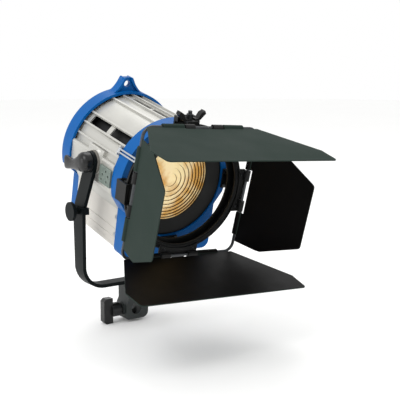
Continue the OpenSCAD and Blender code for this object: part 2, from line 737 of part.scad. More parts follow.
// Flat back, stepped front: each ring is thick inside and thin outside
module lens() {
    core_r = 13;
    step = (lens_r - core_r - 0.8)/lens_rings;
    rise = 2;
    steps = [for (i = [lens_rings - 1:-1:0]) each [[core_r + step*(i + 1), lens_front + rise],
        [core_r + step*i + 0.5, lens_front + 0.1]]];
    core = [for (i = [4:-1:0]) [core_r*i/4, lens_front + 0.2 + rise*pow(i/4, 2)]];
    color("#e9d9a8") in_head() turned_y(concat([[0, lens_front + lens_t], [lens_r, lens_front + lens_t],
        [lens_r, lens_front + 0.1], [lens_r - 0.8, lens_front + 0.1]], steps, core));
}
module lens_clips() {
    back = lens_front + lens_t;
    color("#8a8d90") in_head() for (a = [45:90:315]) rotate([0, a, 0]) {
        block([-4, back + 1.55, lens_r - 8], [4, back + 2.6, lens_r + 6]);
        block([-4, back + 0.05, lens_r - 8], [4, back + 1.6, lens_r - 6]);
    }
}
guard_turn = 15;
guard_pitch = 30;
module lens_guard() {
    back = lens_front + lens_t + 2.65;
    color("#b0b2b4") in_head() {
        turned_y([[lens_r - 3, back], [lens_r - 1, back],
            [lens_r - 1, back + 1.6], [lens_r - 3, back + 1.6]]);
        rotate([0, guard_turn, 0]) for (x = [-guard_pitch, 0, guard_pitch]) {
            reach = sqrt(pow(lens_r - 2, 2) - x*x);
            translate([x, back + 0.8, -reach]) cylinder(r = 0.6, h = 2*reach);
            translate([0, back + 0.8, x]) rod_x(0.6, -reach, reach);
        }
    }
}

// Brackets on the left, right and bottom: a front slot for the barndoor, a rear one for a scrim
slot_r = ring_r + 0.7;
lip_in = ring_r - 3;
bracket_out = ring_r + 2.4;
module accessory_brackets() {
    color("#191b1c") in_head() for (a = [90, 180, 270]) rotate([0, a, 0]) difference() {
        block([-13, disc_front - 3.8, mouth_r + 1.2], [13, door_front - 0.02, bracket_out]);
        // Room for the accessory rings between the lips
        difference() {
            rod_y(slot_r, disc_front - 1, door_front - 3);
            rod_y(slot_r + 5, disc_rear + 1, disc_rear + 3);
        }
        rod_y(lip_in, disc_front - 5, door_front - 3);
        for (x = [-9, 9]) translate([x, 0, mouth_r + 3.8]) rod_y(1.6, door_front - 4, door_front);
    }
}
module bracket_screws() {
    color("#9da1a4") in_head() for (a = [90, 180, 270], x = [-9, 9]) rotate([0, a, 0])
        translate([x, 0, mouth_r + 3.8]) {
            rod_y(1.55, door_front - 3.2, door_front - 0.03);
            rod_y(2.5, door_front - 4.6, door_front - 3.03);
        }
}
// Top latch: a sprung plate with two thumb wings that drops in front of the ring
latch_y = door_front - 5.6;
latch_z = ring_r + 3.6;
module latch_base() {
    color("#1b1d1e") in_head() {
        block([-14, door_front - 2.6, mouth_r + 0.5], [14, door_front - 0.02, latch_z + 3]);
        for (x = [-14, 11]) block([x, latch_y - 3, latch_z - 3.2], [x + 3, door_front - 1, latch_z + 3]);
        translate([0, latch_y, latch_z]) rod_x(1.5, -13, 13);
    }
}
module latch_plate() {
    top = latch_z + 1;
    tip = disc_front - 4.4;
    color("#161819") in_head() difference() {
        union() {
            translate([0, latch_y, latch_z]) rod_x(2.6, -10.6, 10.6);
            block([-9, tip, top - 2], [9, latch_y, top]);
            block([-9, tip, lip_in + 0.6], [9, tip + 2.2, top]);
            both_sides() translate([0, tip + 4, top]) rotate([90, 0, 0]) translate([0, 0, -8])
                linear_extrude(8) polygon([[5, -1], [11, -1], [20, 8], [18, 12], [13, 9], [9, 2], [5, 2]]);
        }
        translate([0, latch_y, latch_z]) rod_x(1.5 + run_gap, -14, 14);
    }
}
module latch_screw() {
    color("#7d8184") in_head() translate([0, disc_front + 6, latch_z + 1.02]) {
        cylinder(r = 4.2, h = 7);
        translate([0, 0, 6.9]) cylinder(r = 2.6, h = 4);
    }
}

// ---------------------------------------------------------------- barndoor
collar_r = ring_r - 3.4;
ring_in = mouth_r - 3.5;
annulus_in = mouth_r - 1;
bead_r = mouth_r + 1.7;
collar_front = wire_y + 5.2;
lobe_half = 29;
knuckle_r = wire_r + 2.1;
module barndoor_ring() {
    color("#131516") in_door() difference() {
        union() {
            turned_y([[ring_in, disc_rear], [ring_r, disc_rear], [ring_r, disc_front],
                [collar_r, disc_front], [collar_r, collar_front], [bead_r + 1.6, collar_front],
                [bead_r + 0.9, collar_front - 1.4], [bead_r - 0.9, collar_front - 1.4],
                [bead_r - 1.6, collar_front], [annulus_in, collar_front], [annulus_in, collar_front + 1.6],
                [collar_r - 2, collar_front + 1.6], [collar_r - 2, disc_front], [ring_in, disc_front]]);
            for (side = [0:3]) at_side(side) {
                along_y(collar_front - 2.4, collar_front + 0.01) difference() {
                    translate([-lobe_half, 40]) square([2*lobe_half, hinge_out - knuckle_r + 1.6 - 40]);
                    circle(bead_r + 2.4);
                }
                along_y(collar_front - 3.4, collar_front - 2.3)
                    translate([-14, collar_r - 0.5]) square([28, 3.6]);
                for (x = [-28, 14]) translate([x, wire_y, hinge_out]) rod_x(knuckle_r, 0, 14);
                for (x = [-28, 14])
                    block([x, wire_y, hinge_out - knuckle_r], [x + 14, collar_front - 0.1, hinge_out - 1]);
            }
        }
        for (side = [0:3]) at_side(side) translate([0, wire_y, hinge_out]) rod_x(wire_r + 0.04, -60, 60);
    }
}
wire_bend = 12;
module hinge_wire() {
    half = hinge_out - wire_bend;
    color("#2a2c2d") in_door() for (side = [0:3]) at_side(side) {
        translate([0, wire_y, hinge_out]) rod_x(wire_r, -half, half);
        translate([half, wire_y, half]) rotate([90, 0, 0]) rotate_extrude(angle = 90)
            translate([wire_bend, 0]) circle(wire_r, $fn = 24);
    }
}
module lobe_rivets() {
    color("#6c7073") in_door() for (side = [0:3], x = [-22, 22]) at_side(side)
        translate([x, 0, bead_r + 3.5]) rod_y(2, collar_front - 3.6, collar_front - 2.42);
}
// A leaf lies on its hinge line and reaches forward; angle is its outward opening
module leaf(side, angle, outline, knuckles) {
    in_door() at_side(side) translate([0, wire_y, hinge_out]) rotate([-angle, 0, 0]) difference() {
        union() {
            translate([0, 0, -leaf_t/2]) mirror([0, 1, 0]) linear_extrude(leaf_t) difference() {
                polygon(outline);
                translate([-lobe_half - 1, -cut]) square([2*lobe_half + 2, 7 + cut]);
            }
            for (k = knuckles) rod_x(knuckle_r, k[0], k[1]);
        }
        rod_x(wire_r + run_gap, -100, 100);
    }
}
function leaf_outline(half_hinge, half_wide, wide_at, half_tip, reach) = let (side = concat(
        [[half_hinge, 2.6], [half_wide, wide_at]],
        rounded([half_wide, wide_at], [half_wide - 1, wide_at + 8], [half_tip, reach], 5, 3),
        rounded([half_wide, wide_at + 8], [half_tip, reach], [0, reach], 5, 3)))
    concat(side, mirrored(side));
wide_outline = leaf_outline(hinge_out - 2, wide_half, wide_reach*0.72, wide_tip, wide_reach);
narrow_outline = leaf_outline(hinge_out - 15, hinge_out - 15, narrow_reach*0.36, narrow_tip, narrow_reach);
leaf_knuckles = [[-60, -30], [30, 60]];
module leaf_top() { color("#454d49") leaf(0, top_leaf_angle, wide_outline, leaf_knuckles); }
module leaf_right() { color("#101112") leaf(1, right_leaf_angle, narrow_outline, leaf_knuckles); }
module leaf_bottom() { color("#1c1a19") leaf(2, bottom_leaf_angle, wide_outline, leaf_knuckles); }
module leaf_left() { color("#444b4d") leaf(3, left_leaf_angle, narrow_outline, leaf_knuckles); }

yoke_strap();
spigot_receptacle();
receptacle_bolt();
cable_peg();
friction_washers();
spigot_clamp_knob();
spigot_clamp_screw();
tilt_lever();
rear_casting();
rear_bulkhead();
rear_cover();
rear_cover_screws();
top_shell();
side_rail_left();
side_rail_right();
side_panel_left();
side_panel_right();
bottom_tray();
heat_baffle();
vent_block_left();
vent_block_right();
pivot_studs();
pivot_nut_right();
rod_support();
guide_rods();
cable_gland();
casing_screws();
door_hinge_bracket();
focus_spindle();
focus_knob();
carriage_plate();
carriage_nut();
reflector();
lampholder();
bulb_base();
bulb_envelope();
bulb_filament();
front_casting();
lens_ring();
lens();
lens_clips();
lens_guard();
accessory_brackets();
bracket_screws();
latch_base();
latch_plate();
latch_screw();
door_catch();
catch_lug();
barndoor_ring();
hinge_wire();
lobe_rivets();
leaf_top();
leaf_bottom();
leaf_left();
leaf_right();
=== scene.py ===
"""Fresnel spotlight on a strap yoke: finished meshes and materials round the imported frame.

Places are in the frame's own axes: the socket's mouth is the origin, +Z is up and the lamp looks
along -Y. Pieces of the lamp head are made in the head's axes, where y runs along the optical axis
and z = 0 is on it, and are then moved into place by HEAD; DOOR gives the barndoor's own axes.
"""

import json
import math

import bmesh
import bpy
from bpy.props import FloatProperty, FloatVectorProperty, IntProperty, PointerProperty
from mathutils import Matrix, Vector

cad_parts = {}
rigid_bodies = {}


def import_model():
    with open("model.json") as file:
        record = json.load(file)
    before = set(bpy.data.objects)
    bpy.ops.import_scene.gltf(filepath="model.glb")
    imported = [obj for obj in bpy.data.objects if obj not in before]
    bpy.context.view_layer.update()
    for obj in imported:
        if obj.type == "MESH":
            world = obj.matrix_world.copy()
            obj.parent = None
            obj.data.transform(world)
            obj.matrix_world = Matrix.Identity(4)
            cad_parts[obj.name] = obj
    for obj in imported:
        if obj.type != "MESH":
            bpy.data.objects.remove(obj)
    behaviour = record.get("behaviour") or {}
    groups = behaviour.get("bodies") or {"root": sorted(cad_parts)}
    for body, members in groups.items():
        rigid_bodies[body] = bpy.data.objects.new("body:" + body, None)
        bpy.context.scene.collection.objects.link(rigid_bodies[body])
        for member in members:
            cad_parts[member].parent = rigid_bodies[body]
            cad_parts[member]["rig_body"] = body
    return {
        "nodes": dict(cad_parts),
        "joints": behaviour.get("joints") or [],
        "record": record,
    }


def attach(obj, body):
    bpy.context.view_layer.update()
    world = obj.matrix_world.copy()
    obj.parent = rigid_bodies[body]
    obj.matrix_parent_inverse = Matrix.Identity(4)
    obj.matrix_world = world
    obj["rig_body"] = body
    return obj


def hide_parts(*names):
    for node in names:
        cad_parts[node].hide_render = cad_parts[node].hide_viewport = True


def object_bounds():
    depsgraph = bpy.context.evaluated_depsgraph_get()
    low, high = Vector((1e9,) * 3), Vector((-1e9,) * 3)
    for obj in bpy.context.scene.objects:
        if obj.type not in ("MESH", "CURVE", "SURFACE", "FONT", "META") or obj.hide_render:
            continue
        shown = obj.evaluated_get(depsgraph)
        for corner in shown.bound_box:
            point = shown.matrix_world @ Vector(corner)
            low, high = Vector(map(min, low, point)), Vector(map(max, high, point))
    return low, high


bl_info = {
    "name": "Fresnel spotlight",
    "version": (1, 0, 0),
    "blender": (4, 5, 0),
    "location": "View3D > Sidebar > Spotlight",
    "description": "Finishes and detail for a fresnel spotlight with a barndoor and a yoke",
    "category": "Add Mesh",
}

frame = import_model()
CAD_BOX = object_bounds()
JOINTS = {joint["name"]: joint for joint in frame["joints"]}

MM = 0.001
# Strength of a painted glow in the lens glass: painted reflection of the studio's light that the reflector
# and the lens throw back
PAINTED_LENS_GLOW = 0.32
BOROSILICATE_IOR = 1.47
# How far a coat's roughness wanders from patch to patch
ROUGH_SPREAD = 0.12
# Edges that turn by more than SHARP stay sharp; faces within FLAT of each other are one face
SHARP = math.radians(32)
FLAT = math.radians(1)
# Vertices closer than this are the same corner, in a CAD mesh and in a turned one
CAD_MERGE = 0.004 * MM
TURNED_MERGE = 0.002 * MM


# ---------------------------------------------------------------- frames and small helpers
def linear(code):
    """An sRGB hex colour as a linear RGB triple."""
    values = [int(code[i : i + 2], 16) / 255 for i in (1, 3, 5)]
    return tuple(v / 12.92 if v <= 0.04045 else ((v + 0.055) / 1.055) ** 2.4 for v in values)


def joint_point(name):
    return Vector(JOINTS[name]["pos_m"])


def joint_axis(name):
    return Vector(JOINTS[name]["axis"]).normalized()


def axes_at(origin, y_axis, z_axis):
    """A matrix whose columns are the axes and the origin of a local frame."""
    x_axis = y_axis.cross(z_axis)
    matrix = Matrix((x_axis, y_axis, z_axis)).transposed().to_4x4()
    matrix.translation = origin
    return matrix


# The head's own origin is the foot of the focus screw's pivot point on the optical axis
BACKWARD = -joint_axis("barndoor_turn")
DISC = joint_point("barndoor_turn")
HEAD = axes_at(
    DISC + BACKWARD * BACKWARD.dot(joint_point("focus_turn") - DISC), BACKWARD, joint_axis("lens_door_hinge")
)
DOOR = axes_at(HEAD.translation, BACKWARD, BACKWARD.cross(joint_axis("top_leaf_hinge")))
ROW = Matrix.Identity(4)


def head_box(node, matrix=HEAD):
    """Lowest and highest corner of a CAD node in the head's own axes."""
    back = matrix.inverted()
    points = [back @ v.co for v in frame["nodes"][node].data.vertices]
    low = Vector([min(p[i] for p in points) for i in range(3)])
    high = Vector([max(p[i] for p in points) for i in range(3)])
    return low, high


def node_box(node):
    """Lowest and highest corner of a CAD node in the frame's axes."""
    return head_box(node, ROW)


def at_side(side):
    """Side 0 is the top of the barndoor, 1 the right, 2 the bottom and 3 the left."""
    return Matrix.Rotation(math.radians(90 * side), 4, "Y")


def add(tree, kind, links=None, **settings):
    """Adds a node. links go to its inputs, as sockets or plain values; settings are its own properties."""
    node = tree.nodes.new(kind)
    for key, value in settings.items():
        setattr(node, key, value)
    for key, value in (links or {}).items():
        if isinstance(value, bpy.types.NodeSocket):
            tree.links.new(value, node.inputs[key])
        else:
            node.inputs[key].default_value = value
    return node


def per_metre(size_mm):
    """The texture scale whose features are about size_mm across."""
    return 1 / (size_mm * MM)


# ---------------------------------------------------------------- sizes and colours
def size(name, description, default):
    return FloatProperty(name=name, description=description, default=default, unit="LENGTH", min=0)


def colour(name, description, code):
    return FloatVectorProperty(
        name=name, description=description, default=linear(code), subtype="COLOR", size=3, min=0, max=1
    )


class SpotlightSizes(bpy.types.PropertyGroup):
    """Sizes of the detail that is added to the frame."""

    casting_edge: size("Casting edge", "Radius on the edges of the castings", 0.9 * MM)
    sheet_edge: size("Sheet edge", "Radius on the edges of sheet metal", 0.35 * MM)
    strap_edge: size("Strap edge", "Radius on the edges of the yoke strap", 0.8 * MM)
    plastic_edge: size("Plastic edge", "Radius on the edges of moulded pieces", 1.2 * MM)
    lens_steps: IntProperty(
        name="Lens steps", description="Rings on the stepped lens", default=9, min=6, max=24
    )
    knob_flutes: IntProperty(
        name="Knob flutes", description="Grip flutes round the focus knob", default=20, min=8
    )


class SpotlightColours(bpy.types.PropertyGroup):
    """Colours of the paints and plastics."""

    blue: colour("Casting blue", "Enamel on the front and rear castings", "#00559a")
    silver: colour("Shell silver", "Paint on the ribbed top shell and the rails", "#bdbcb6")
    panel: colour("Panel grey", "Enamel on the side panels and the tray", "#cdc9c2")
    # Darker than the shell: the vent grey is also painted shade of the recess under the pivot boss
    vent: colour("Vent grey", "Rough paint on the vent blocks", "#66726b")
    strap: colour("Strap black", "Powder coat on the yoke", "#0c1112")
    socket: colour("Socket grey", "Powder coat on the receptacle", "#1d2322")
    matt: colour("Matt black", "Heat resistant paint inside and on the barndoor", "#0a0b0b")
    # The two leaf colours are one black paint: lighter grey outside as painted light, near black inside as
    # painted shade
    leaf_lit_grey: colour("Leaf outside", "Paint on the outer faces of the leaves", "#25312c")
    leaf_shaded_black: colour("Leaf inside", "Paint on the inner faces of the leaves", "#050404")
    nylon: colour("Nylon black", "Moulded knobs and levers", "#0b0c0c")
    lens_tint: colour("Lens tint", "Warm tint of the pressed glass", "#fff0c4")


def sizes():
    return bpy.context.scene.spotlight_sizes


def colours():
    return bpy.context.scene.spotlight_colours


# ---------------------------------------------------------------- materials
def two_tones(tree, factor, base, spread):
    """A mix from a little darker to a little lighter than the base colour."""
    dark = tuple(v * (1 - spread) for v in base) + (1,)
    light = tuple(min(1, v * (1 + spread)) for v in base) + (1,)
    return add(tree, "ShaderNodeMix", {"Factor": factor, "A": dark, "B": light}, data_type="RGBA")


def coated(name, base, roughness, grain_mm, grain_height, cloud_mm=40, spread=0.08, metallic=0.0,
           wear=0.0, wear_colour=(0.45, 0.45, 0.45), wear_radius=0.6, specular=0.5):
    """A coat of paint or a moulded skin: grain in the surface, soft clouds in the colour, worn edges."""
    material = bpy.data.materials.new(name)
    material.use_nodes = True
    tree = material.node_tree
    shader = tree.nodes["Principled BSDF"]
    place = add(tree, "ShaderNodeTexCoord").outputs["Object"]
    clouds = add(tree, "ShaderNodeTexNoise", {"Vector": place, "Scale": per_metre(cloud_mm), "Detail": 4.0})
    grain = add(tree, "ShaderNodeTexNoise", {"Vector": place, "Scale": per_metre(grain_mm), "Detail": 3.0})
    tone = two_tones(tree, clouds.outputs["Fac"], base, spread)
    colour_out = tone.outputs[2]
    if wear:
        edge = add(tree, "ShaderNodeBevel", {"Radius": wear_radius * MM}, samples=4)
        flat = add(tree, "ShaderNodeNewGeometry").outputs["Normal"]
        along = add(tree, "ShaderNodeVectorMath", {0: edge.outputs["Normal"], 1: flat},
                    operation="DOT_PRODUCT")
        bare = add(tree, "ShaderNodeMapRange", {
            "Value": along.outputs["Value"], "From Min": 0.99, "From Max": 0.88,
            "To Min": 0.0, "To Max": wear,
        })
        patchy = add(tree, "ShaderNodeMath", {0: bare.outputs["Result"], 1: clouds.outputs["Fac"]},
                     operation="MULTIPLY")
        worn = add(tree, "ShaderNodeMix", {
            "Factor": patchy.outputs["Value"], "A": tone.outputs[2], "B": wear_colour + (1,),
        }, data_type="RGBA")
        colour_out = worn.outputs[2]
    rough = add(tree, "ShaderNodeMapRange", {
        "Value": clouds.outputs["Fac"], "From Min": 0.3, "From Max": 0.7,
        "To Min": max(0.02, roughness - ROUGH_SPREAD / 2), "To Max": min(1, roughness + ROUGH_SPREAD / 2),
    })
    bump = add(tree, "ShaderNodeBump", {
        "Height": grain.outputs["Fac"], "Distance": grain_height * MM, "Strength": 0.6,
    })
    tree.links.new(colour_out, shader.inputs["Base Color"])
    tree.links.new(rough.outputs["Result"], shader.inputs["Roughness"])
    tree.links.new(bump.outputs["Normal"], shader.inputs["Normal"])
    shader.inputs["Metallic"].default_value = metallic
    shader.inputs["Specular IOR Level"].default_value = specular
    return material


def brushed(name, base, roughness, line_mm, along="X", spread=0.1):
    """Bare metal with fine lines left by a brush, a mill or a lathe, which run along one axis."""
    material = bpy.data.materials.new(name)
    material.use_nodes = True
    tree = material.node_tree
    shader = tree.nodes["Principled BSDF"]
    place = add(tree, "ShaderNodeTexCoord").outputs["Object"]
    stretch = [1.0, 1.0, 1.0]
    stretch["XYZ".index(along)] = 0.03
    mapped = add(tree, "ShaderNodeMapping", {"Vector": place, "Scale": stretch})
    lines = add(tree, "ShaderNodeTexNoise", {
        "Vector": mapped.outputs["Vector"], "Scale": per_metre(line_mm), "Detail": 2.0,
    })
    tone = two_tones(tree, lines.outputs["Fac"], base, spread)
    rough = add(tree, "ShaderNodeMapRange", {
        "Value": lines.outputs["Fac"], "To Min": roughness - 0.08, "To Max": roughness + 0.1,
    })
    bump = add(tree, "ShaderNodeBump", {
        "Height": lines.outputs["Fac"], "Distance": 0.02 * MM, "Strength": 0.4,
    })
    tree.links.new(tone.outputs[2], shader.inputs["Base Color"])
    tree.links.new(rough.outputs["Result"], shader.inputs["Roughness"])
    tree.links.new(bump.outputs["Normal"], shader.inputs["Normal"])
    shader.inputs["Metallic"].default_value = 1.0
    return material


def casting_enamel():
    # Stoved enamel on a pressure die casting: saturated, smooth, a faint orange peel in the gloss
    return coated("stoved_enamel_blue", tuple(colours().blue), 0.34, 1.1, 0.03, cloud_mm=55, spread=0.1,
                  wear=0.4, wear_colour=(0.03, 0.24, 0.6), wear_radius=0.9, specular=0.12)


def hammer_silver():
    # Metallic silver paint on aluminium: flakes give a soft sheen and a fine sparkle
    return coated("silver_metallic_paint", tuple(colours().silver), 0.38, 0.7, 0.02, cloud_mm=30, spread=0.07,
                  metallic=0.45, wear=0.8, wear_colour=(0.9, 0.9, 0.88), wear_radius=0.7)


def panel_enamel():
    # Smooth light grey enamel on sheet: even, a little glossier than the shell
    return coated("light_grey_enamel", tuple(colours().panel), 0.36, 0.9, 0.015, cloud_mm=60, spread=0.04,
                  metallic=0.15, wear=0.5, wear_colour=(0.85, 0.85, 0.82))


def rough_cast_painted_shade():
    # Sand-cast surface under grey-green paint, darker than the shell round it, which is also painted shade of
    # the recess under the pivot boss: coarse grain that breaks up the light
    return coated("sand_cast_grey_green_painted_shade", tuple(colours().vent), 0.6, 1.6, 0.5, cloud_mm=5, spread=0.35,
                  wear=0.8, wear_colour=(0.55, 0.6, 0.57), wear_radius=0.8)


def strap_powder():
    # Powder coat on steel strap: semi-matt, an even fine pebble, rubbed brighter along the edges
    return coated("powder_coat_black", tuple(colours().strap), 0.45, 0.8, 0.05, cloud_mm=45, spread=0.18,
                  wear=0.35, wear_colour=(0.05, 0.058, 0.062), wear_radius=0.8, specular=0.08)


def socket_powder():
    # Thicker textured powder coat over a casting
    return coated("textured_powder_coat", tuple(colours().socket), 0.55, 1.0, 0.16, cloud_mm=20, spread=0.15,
                  wear=0.5, wear_colour=(0.22, 0.24, 0.24), wear_radius=0.7)


def heat_paint():
    # Heat resistant paint on sheet steel: nearly matt, faint greyish bloom where it has been hot
    return coated("heat_resistant_black", tuple(colours().matt), 0.5, 0.6, 0.03, cloud_mm=25, spread=0.35,
                  wear=0.5, wear_colour=(0.1, 0.105, 0.105), wear_radius=0.5, specular=0.3)


def leaf_paint_lit():
    # The barndoor's black paint as a lighter grey on the outer faces, which is painted light: satin, faint
    # cloudy streaks
    return coated("barndoor_paint_lit", tuple(colours().leaf_lit_grey), 0.72, 0.7, 0.03, cloud_mm=60,
                  spread=0.07, wear=0.5, wear_colour=(0.14, 0.155, 0.145), wear_radius=0.5, specular=0.1)


def leaf_paint_shaded():
    # The same paint on the inner faces, near black as painted shade, with a low sheen
    return coated("barndoor_paint_shaded", tuple(colours().leaf_shaded_black), 0.5, 0.7, 0.02, cloud_mm=50, spread=0.5,
                  wear=0.3, wear_colour=(0.05, 0.05, 0.05), wear_radius=0.5, specular=0.1)


def moulded_nylon():
    # Glass-filled nylon: a fine spark-eroded grain, dull shine
    return coated("moulded_nylon", tuple(colours().nylon), 0.3, 0.7, 0.04, cloud_mm=15, spread=0.25, wear=0.5,
                  wear_colour=(0.06, 0.06, 0.065), wear_radius=0.8, specular=0.4)


def friction_fibre():
    # Pressed fibre washers: dull and slightly mottled
    return coated("pressed_fibre", (0.16, 0.15, 0.13), 0.8, 0.6, 0.1, cloud_mm=4, spread=0.3)


def steatite():
    # Unglazed ceramic: off-white, dry, barely shiny
    return coated("steatite", linear("#e6dfcf"), 0.55, 0.5, 0.04, cloud_mm=12, spread=0.06)


def zinc_plate():
    # Bright zinc on steel: cool, slightly cloudy reflections
    return brushed("zinc_plated_steel", linear("#c2c6ca"), 0.3, 0.5)


def black_oxide():
    # Black oxide on steel: dark metal with an oily shine
    return brushed("black_oxide_steel", linear("#4a4c4e"), 0.34, 0.4, along="Z")


def mill_aluminium():
    # Rolled sheet, with the lines of the mill
    return brushed("mill_finish_aluminium", linear("#cfd2d4"), 0.32, 0.5, along="Y")


def turned_brass():
    # Lathe-cut brass
    return brushed("turned_brass", linear("#c8a253"), 0.28, 0.4, along="Y")


def tungsten():
    # Drawn tungsten: a dull grey wire
    return brushed("tungsten_wire", linear("#8c857a"), 0.4, 0.3, along="Z")


def spun_mirror():
    # Anodised spun aluminium: a mirror with the faint rings of the spinning tool
    return brushed("anodised_mirror", linear("#f1f1ee"), 0.12, 1.2, spread=0.03)


def glass(name, tint, roughness, grain_mm, grain_height, transmission, tone=None, reflection_patch_mm=20):
    """Glass with a surface that is not quite smooth. Where a second tone is given, patches of it are painted
    into the colour and made to glow, as painted reflection.
    """
    material = bpy.data.materials.new(name)
    material.use_nodes = True
    tree = material.node_tree
    shader = tree.nodes["Principled BSDF"]
    place = add(tree, "ShaderNodeTexCoord").outputs["Object"]
    ripple = add(tree, "ShaderNodeTexNoise", {"Vector": place, "Scale": per_metre(grain_mm), "Detail": 2.0})
    bump = add(tree, "ShaderNodeBump", {
        "Height": ripple.outputs["Fac"], "Distance": grain_height * MM, "Strength": 0.5,
    })
    tree.links.new(bump.outputs["Normal"], shader.inputs["Normal"])
    shader.inputs["Base Color"].default_value = tuple(tint) + (1,)
    if tone:
        # Painted reflection: patches of the second tone in the colour, which also glow
        clouds = add(tree, "ShaderNodeTexNoise", {
            "Vector": place, "Scale": per_metre(reflection_patch_mm), "Detail": 3.0,
        })
        reflection_patch = add(tree, "ShaderNodeMapRange", {
            "Value": clouds.outputs["Fac"], "From Min": 0.42, "From Max": 0.62,
        })
        tint_and_painted_reflection = add(tree, "ShaderNodeMix", {
            "Factor": reflection_patch.outputs["Result"], "A": tuple(tint) + (1,), "B": tuple(tone) + (1,),
        }, data_type="RGBA")
        tree.links.new(tint_and_painted_reflection.outputs[2], shader.inputs["Base Color"])
        tree.links.new(tint_and_painted_reflection.outputs[2], shader.inputs["Emission Color"])
        # Painted glow: the glass shines by itself although it is no lamp
        shader.inputs["Emission Strength"].default_value = PAINTED_LENS_GLOW
    shader.inputs["Roughness"].default_value = roughness
    shader.inputs["IOR"].default_value = BOROSILICATE_IOR
    shader.inputs["Transmission Weight"].default_value = transmission
    return material


def pressed_glass():
    # Pressed borosilicate: a warm tint, with cream and gold patches and a glow painted in as painted
    # reflection of the light the glass throws back
    return glass("pressed_borosilicate", colours().lens_tint, 0.06, 2.5, 0.04, 0.5,
                 tone=linear("#e0b365"), reflection_patch_mm=24)


def riser_painted_shade_glass():
    # The upright steps between the rings: fire-polished less, and a dark amber that is painted shade, as the
    # steps look dark seen edge on
    return glass("pressed_borosilicate_step_painted_shade", linear("#4a2f0e"), 0.3, 1.5, 0.06, 0.1)


def quartz():
    # Fused quartz: clear, smooth and almost colourless
    return glass("quartz", linear("#f4f7f8"), 0.02, 6, 0.02, 1.0)


MAKERS = {
    "cast_blue": casting_enamel, "shell_silver": hammer_silver, "panel_silver": panel_enamel,
    "vent_grey": rough_cast_painted_shade, "yoke_black": strap_powder, "receptacle_grey": socket_powder,
    "black_metal": heat_paint, "leaf_grey": leaf_paint_lit, "leaf_black": leaf_paint_shaded,
    "knob_black": moulded_nylon, "bright_steel": zinc_plate, "dark_steel": black_oxide,
    "sheet_aluminium": mill_aluminium, "washer_fibre": friction_fibre, "brass": turned_brass,
    "reflector_mirror": spun_mirror, "ceramic": steatite, "bulb_glass": quartz, "lens_glass": pressed_glass,
    "filament": tungsten,
}
MADE = {}


def finish_of(slot):
    """The material of one of the record's slots, made when it is first needed."""
    if slot not in MADE:
        MADE[slot] = MAKERS[slot]()
    return MADE[slot]


# ---------------------------------------------------------------- meshes
def piece(name, mesh_data, matrix, body, slot, replaces=(), recalculate=True):
    """Turns a bmesh into a finished piece that rides on a body."""
    if recalculate:
        bmesh.ops.recalc_face_normals(mesh_data, faces=mesh_data.faces[:])
    mesh_data.transform(matrix)
    mesh = bpy.data.meshes.new(name)
    mesh_data.to_mesh(mesh)
    mesh_data.free()
    made = bpy.data.objects.new(name, mesh)
    bpy.context.scene.collection.objects.link(made)
    mesh.polygons.foreach_set("use_smooth", [True] * len(mesh.polygons))
    mesh.set_sharp_from_angle(angle=SHARP)
    mesh.materials.append(finish_of(slot))
    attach(made, body)
    if replaces:
        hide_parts(*replaces)
    return made


def merged_copy(node):
    """A CAD node's mesh with its doubles merged and its flat faces joined again."""
    copy = bmesh.new()
    copy.from_mesh(frame["nodes"][node].data)
    bmesh.ops.remove_doubles(copy, verts=copy.verts[:], dist=CAD_MERGE)
    bmesh.ops.dissolve_limit(
        copy, angle_limit=FLAT, use_dissolve_boundaries=False, verts=copy.verts[:], edges=copy.edges[:]
    )
    return copy


def body_of_node(node):
    return frame["nodes"][node]["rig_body"]


def slot_of_node(node):
    return next(s["material_slot"] for s in frame["record"]["subparts"] if s["node"] == node)


def soften(node, name, edge, segments=2):
    """The CAD node with rounded edges and its real finish."""
    made = piece(name, merged_copy(node), ROW, body_of_node(node), slot_of_node(node), [node],
                 recalculate=False)
    if edge:
        rounding = made.modifiers.new("edges", "BEVEL")
        rounding.width = edge
        rounding.segments = segments
        rounding.limit_method = "ANGLE"
        rounding.angle_limit = SHARP
        rounding.harden_normals = True
        rounding.miter_outer = "MITER_ARC"
    return made


def turned(profile, steps=72, closed=True):
    """A lathe-turned bmesh: profile points are (radius, y), turned about the y axis."""
    shape = bmesh.new()
    corners = [shape.verts.new((r, y, 0)) for r, y in profile]
    edges = [shape.edges.new(pair) for pair in zip(corners, corners[1:])]
    if closed:
        edges.append(shape.edges.new((corners[-1], corners[0])))
    bmesh.ops.spin(
        shape, geom=corners + edges, cent=(0, 0, 0), axis=(0, 1, 0), angle=2 * math.pi, steps=steps,
        use_merge=True,
    )
    bmesh.ops.remove_doubles(shape, verts=shape.verts[:], dist=TURNED_MERGE)
    return shape


def prism(outline, y0, y1):
    """A bmesh plate: a closed (x, z) outline between two y planes."""
    shape = bmesh.new()
    face = shape.faces.new([shape.verts.new((x, y0, z)) for x, z in outline])
    grown = bmesh.ops.extrude_face_region(shape, geom=[face])
    moved = [g for g in grown["geom"] if isinstance(g, bmesh.types.BMVert)]
    bmesh.ops.translate(shape, verts=moved, vec=(0, y1 - y0, 0))
    return shape


def rounded_edges(shape, edge, segments=2, sharper_than=25):
    """Bevels every edge that is sharper than the limit, in degrees."""
    shape.normal_update()
    limit = math.radians(sharper_than)
    edges = [e for e in shape.edges if len(e.link_faces) == 2 and e.calc_face_angle(0) > limit]
    bmesh.ops.bevel(
        shape, geom=edges, offset=edge, offset_type="OFFSET", affect="EDGES", segments=segments, profile=0.5,
        material=-1, clamp_overlap=True,
    )
    return shape


def join(*shapes):
    """Several bmeshes as one."""
    whole = bmesh.new()
    for shape in shapes:
        part = bpy.data.meshes.new("part")
        shape.to_mesh(part)
        shape.free()
        whole.from_mesh(part)
        bpy.data.meshes.remove(part)
    return whole


def moved(shape, matrix):
    shape.transform(matrix)
    return shape


